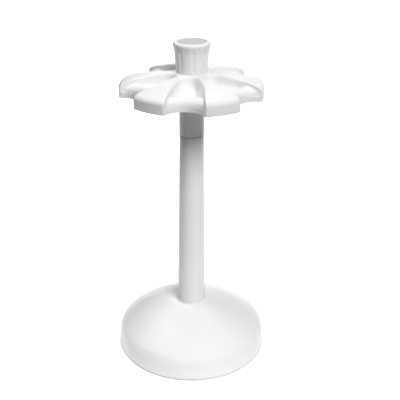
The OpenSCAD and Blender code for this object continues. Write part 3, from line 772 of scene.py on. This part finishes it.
class STAND_OT_finishes(StandOperator, bpy.types.Operator):
    """Make the finishes and give them to the hardware that keeps its own shape"""
    bl_idname = "carousel_stand.finishes"
    bl_label = "Finishes"

    def execute(self, context):
        tones = context.scene.stand_colours
        moulding = moulded_abs(tones.moulding)
        matte_polymer("matte_abs_grey", tones.cap, 0.55, 0.8 * MM)
        acetal = matte_polymer("natural_acetal", tones.acetal, 0.35, 0.6 * MM)
        rubber = matte_polymer("nitrile_rubber", tones.rubber, 0.75, 0.7 * MM)
        zinc = zinc_plate(tones.zinc)
        iron = cast_iron(tones.iron)
        slots = {"moulded_white": moulding, "zinc_steel": zinc, "ballast_steel": iron,
                 "foot_rubber": rubber, "acetal": acetal}
        dressed = {"bottom_cover": "moulded_white", "ballast_disc": "ballast_steel",
                   "lower_bush": "acetal", "upper_bush": "acetal", "thrust_washer": "acetal"}
        for name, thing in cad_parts.items():
            thing.data.materials.clear()
            thing.data.materials.append(slots[dressed.get(name, "zinc_steel")])
        return {"FINISHED"}


class STAND_OT_base(StandOperator, bpy.types.Operator):
    """Build the base shell and the rubber feet"""
    bl_idname = "carousel_stand.base"
    bl_label = "Base"

    def execute(self, context):
        s = context.scene.stand_base
        white, rubber = material("moulded_abs_white"), material("nitrile_rubber")
        piece("base_shell_skin", [lathe(base_outline(s), turns=256)], "stand",
              white, ["base_shell"])
        foot = lathe(foot_outline(), turns=64)
        places = [moved(foot, x, y) for x in (-FOOT_PLACE, FOOT_PLACE)
                  for y in (-FOOT_PLACE, FOOT_PLACE)]
        piece("rubber_feet_moulded", places, "stand", rubber, ["rubber_feet"])
        return {"FINISHED"}


class STAND_OT_pole(StandOperator, bpy.types.Operator):
    """Build the tapered pole and the neck sleeve that turns above it"""
    bl_idname = "carousel_stand.pole"
    bl_label = "Pole and neck"

    def execute(self, context):
        s = context.scene.stand_base
        white = material("moulded_abs_white")
        piece("pole_tube", [lathe(pole_outline(s), turns=160)], "stand", white,
              ["pole"])
        piece("neck_sleeve_tube", [lathe(sleeve_outline(), turns=160)], "carousel",
              white, ["neck_sleeve"])
        return {"FINISHED"}


class STAND_OT_head(StandOperator, bpy.types.Operator):
    """Build the scalloped head with its saddles, pockets, skirt, hub and ribs"""
    bl_idname = "carousel_stand.head"
    bl_label = "Head"

    def execute(self, context):
        s = context.scene.stand_head
        patches = head_patches(s) + [lathe(hub_outline(s), turns=144)] + head_ribs(s)
        piece("carousel_head_skin", patches, "carousel",
              material("moulded_abs_white"), ["carousel_head"], sharp=40)
        return {"FINISHED"}


class STAND_OT_knob(StandOperator, bpy.types.Operator):
    """Build the fluted knob and the disc set into it"""
    bl_idname = "carousel_stand.knob"
    bl_label = "Knob"

    def execute(self, context):
        s = context.scene.stand_knob
        piece("knob_grip", [lathe(knob_outline(s), turns=384, cut=flute_cut(s))], "carousel",
              material("moulded_abs_white"), ["knob"])
        piece("knob_cap_disc", [lathe(cap_outline(), turns=128)], "carousel",
              material("matte_abs_grey"), ["knob_cap"])
        return {"FINISHED"}


class STAND_OT_studio(StandOperator, bpy.types.Operator):
    """Set up the floor, the sky, the soft lights, the dark cards and the camera"""
    bl_idname = "carousel_stand.studio"
    bl_label = "Studio"

    def execute(self, context):
        scene = context.scene
        scene.view_settings.view_transform = "Standard"
        make_floor()
        make_world(scene)
        for lamp in LAMPS:
            make_lamp(*lamp)
        for flag in FLAGS:
            make_flag(*flag)
        make_camera(scene)
        return {"FINISHED"}


# ---------------------------------------------------------------- studio

# name, azimuth and elevation in degrees (0 is the front, plus is right), distance, size, power,
# and whether reflections see it
LAMPS = (
    ("key_softbox", 31, 47, 8.0, 3.3, 598.0, False),
    ("rim_left", -130, 32, 8.0, 3.7, 88.0, False),
    ("top_left", -100, 66, 8.0, 3.7, 195.0, False),
    ("top_back", 178, 55, 8.0, 1.2, 28.0, True),
)
AIM_HIGH = 0.15         # metres: the height that the lamps point at
# dark cards for the gloss to reflect: name, azimuth, distance, width, low and high edge
FLAGS = (
    ("flag_left", -60, 1.0, 1.0, -0.1, 1.0),
    ("flag_behind", -125, 1.0, 1.3, -0.1, 1.0),
)
BLACK_CLOTH, WHITE_PAPER, SKY = (0.01, 0.01, 0.01, 1), (0.9, 0.9, 0.9, 1), (1, 1, 1, 1)
SKY_LIGHT, SKY_SEEN = 0.01, 1.0        # strength of the sky as a light, and as it is seen
FLOOR_HALF = 6.0                       # metres: half the side of the floor
PAPER_NEAR, PAPER_FAR = 0.14, 0.28     # metres from the axis: from white paper to a dim table
PAPER_BOUNCE, TABLE_BOUNCE = 0.9, 0.1  # how much light they throw back on to the stand
PAPER_GLOW, TABLE_GLOW = 0.6, 1.0      # and how much the camera sees on top of that
CONTACT_SHADE_BAND = 1.5 * MM                     # painted shade: the floor's glow stops under the base and this far past its rim, leaving a dark contact line

FOCAL_MM, SENSOR_MM, FRAME_PX = 69.95, 36.0, 400
CAMERA_BACK, CAMERA_HIGH = 719.39 * MM, 498.88 * MM
CAMERA_TURN, CAMERA_DIP, CAMERA_ROLL = np.radians(5.3), np.radians(24.775), np.radians(0.1)
AXIS_PX = 191.6         # column of the frame that the stand's axis falls on


def plane(name, corners):
    """An object with one four-cornered face."""
    mesh = bpy.data.meshes.new(name)
    mesh.from_pydata(corners, [], [[0, 1, 2, 3]])
    thing = bpy.data.objects.new(name, mesh)
    bpy.context.scene.collection.objects.link(thing)
    return thing


def direct_ray(tree):
    """1 for rays from the camera, or by way of a mirror or glass, else 0."""
    path = add_node(tree, "ShaderNodeLightPath")
    either = add_node(tree, "ShaderNodeMath", operation="MAXIMUM",
                      links={0: path.outputs["Is Camera Ray"], 1: path.outputs["Is Glossy Ray"]})
    return add_node(tree, "ShaderNodeMath", operation="MAXIMUM",
                    links={0: either.outputs[0],
                           1: path.outputs["Is Transmission Ray"]}).outputs[0]


def make_floor():
    """White paper under the stand that fades to a dimmer table in the light it bounces."""
    half = FLOOR_HALF
    floor = plane("studio_floor",
                  [[-half, -half, 0], [half, -half, 0], [half, half, 0], [-half, half, 0]])
    made, tree = new_material("studio_paper")
    place = add_node(tree, "ShaderNodeTexCoord")
    away = add_node(tree, "ShaderNodeVectorMath", links={"Vector": place.outputs["Object"]},
                    operation="LENGTH").outputs["Value"]
    shade, shine, outside = (
        add_node(tree, "ShaderNodeMapRange",
                 {"From Min": near, "From Max": far, "To Min": low, "To Max": high},
                 {"Value": away}).outputs["Result"]
        for near, far, low, high in (
            (PAPER_NEAR, PAPER_FAR, PAPER_BOUNCE, TABLE_BOUNCE),
            (PAPER_NEAR, PAPER_FAR, PAPER_GLOW, TABLE_GLOW),
            (BASE_R, BASE_R + CONTACT_SHADE_BAND, 0, 1)))
    # painted shade: the glow is cut to nothing under the base and just past its rim, for a dark
    # contact line
    shine = add_node(tree, "ShaderNodeMath", links={0: shine, 1: outside}, operation="MULTIPLY")
    bounce = add_node(tree, "ShaderNodeBsdfDiffuse", links={"Color": shade})
    paper = add_node(tree, "ShaderNodeBsdfDiffuse", {"Color": WHITE_PAPER})
    glow = add_node(tree, "ShaderNodeEmission", links={"Strength": shine.outputs["Value"]})
    seen = add_node(tree, "ShaderNodeAddShader", links={0: paper.outputs[0], 1: glow.outputs[0]})
    pick = add_node(tree, "ShaderNodeMixShader",
                    links={0: direct_ray(tree), 1: bounce.outputs[0], 2: seen.outputs[0]})
    add_node(tree, "ShaderNodeOutputMaterial", links={"Surface": pick.outputs[0]})
    floor.data.materials.append(made)


def make_world(scene):
    """White sky to the camera and to reflections, a dim one for light."""
    world = bpy.data.worlds.new("studio_world")
    world.use_nodes = True
    tree = world.node_tree
    tree.nodes.clear()
    dim, white = (add_node(tree, "ShaderNodeBackground", {"Color": SKY, "Strength": strength})
                  for strength in (SKY_LIGHT, SKY_SEEN))
    pick = add_node(tree, "ShaderNodeMixShader",
                    links={0: direct_ray(tree), 1: dim.outputs[0], 2: white.outputs[0]})
    add_node(tree, "ShaderNodeOutputWorld", links={"Surface": pick.outputs[0]})
    scene.world = world


def make_lamp(name, azimuth, elevation, distance, size, power, mirrored):
    """Square soft lamp aimed at the stand's middle; azimuth 0 is the front, right is plus."""
    lamp = bpy.data.lights.new(name, "AREA")
    lamp.shape, lamp.size, lamp.energy = "SQUARE", size, power
    thing = bpy.data.objects.new(name, lamp)
    a, e = np.radians(azimuth), np.radians(elevation)
    thing.location = (distance * np.cos(e) * np.sin(a), -distance * np.cos(e) * np.cos(a),
                      AIM_HIGH + distance * np.sin(e))
    thing.rotation_euler = Euler((np.pi / 2 - e, 0, a), "XYZ")
    thing.visible_glossy = mirrored
    bpy.context.scene.collection.objects.link(thing)


def make_flag(name, azimuth, distance, width, low, high):
    """Upright black card facing the stand, hidden from the camera and casting no shadow."""
    a = np.radians(azimuth)
    middle = distance * np.array([np.sin(a), -np.cos(a)])
    side = width / 2 * np.array([np.cos(a), np.sin(a)])
    card = plane(name, [[*(middle + k * side), z]
                        for k, z in ((-1, low), (1, low), (1, high), (-1, high))])
    made, tree = new_material(name + "_cloth")
    cloth = add_node(tree, "ShaderNodeBsdfDiffuse", {"Color": BLACK_CLOTH})
    add_node(tree, "ShaderNodeOutputMaterial", links={"Surface": cloth.outputs[0]})
    card.data.materials.append(made)
    card.visible_camera = False
    card.visible_shadow = False


def make_camera(scene):
    """Camera in front of the stand and above it, turned and dipped towards its middle."""
    camera = bpy.data.cameras.new("stand_camera")
    camera.lens, camera.sensor_width = FOCAL_MM, SENSOR_MM
    camera.shift_x = (FRAME_PX / 2 - AXIS_PX) / FRAME_PX
    thing = bpy.data.objects.new("stand_camera", camera)
    thing.location = (CAMERA_BACK * np.sin(CAMERA_TURN), -CAMERA_BACK * np.cos(CAMERA_TURN),
                      CAMERA_HIGH)
    level = Euler((np.pi / 2 - CAMERA_DIP, 0, CAMERA_TURN), "XYZ").to_matrix()
    roll = Euler((0, 0, CAMERA_ROLL), "XYZ").to_matrix()
    thing.rotation_euler = (level @ roll).to_euler()
    scene.collection.objects.link(thing)
    scene.camera = thing


class STAND_PT_panel(bpy.types.Panel):
    """Lists the pieces of the stand"""
    bl_idname = "STAND_PT_panel"
    bl_label = "Carousel Stand"
    bl_space_type = "VIEW_3D"
    bl_region_type = "UI"
    bl_category = "Carousel Stand"

    def draw(self, context):
        for step in STEPS:
            self.layout.operator(step.bl_idname)
        for group in ("stand_base", "stand_head", "stand_knob", "stand_colours"):
            box = self.layout.box()
            settings = getattr(context.scene, group)
            for name in settings.__annotations__:
                box.prop(settings, name)


STEPS = (STAND_OT_finishes, STAND_OT_base, STAND_OT_pole, STAND_OT_head, STAND_OT_knob,
         STAND_OT_studio)
GROUPS = {"stand_base": BaseSizes, "stand_head": HeadSizes, "stand_knob": KnobSizes,
          "stand_colours": StandColours}


def register():
    """Register the settings, the operators and the panel."""
    for name, group in GROUPS.items():
        bpy.utils.register_class(group)
        setattr(bpy.types.Scene, name, bpy.props.PointerProperty(type=group))
    for made in (*STEPS, STAND_PT_panel):
        bpy.utils.register_class(made)


def unregister():
    """Take everything off again, last first."""
    for made in (STAND_PT_panel, *reversed(STEPS)):
        bpy.utils.unregister_class(made)
    for name, group in reversed(GROUPS.items()):
        delattr(bpy.types.Scene, name)
        bpy.utils.unregister_class(group)


def main():
    """Register the operators and build every piece in order."""
    register()
    bpy.ops.carousel_stand.finishes()
    bpy.ops.carousel_stand.base()
    bpy.ops.carousel_stand.pole()
    bpy.ops.carousel_stand.head()
    bpy.ops.carousel_stand.knob()
    bpy.ops.carousel_stand.studio()


if __name__ == "__main__":
    main()
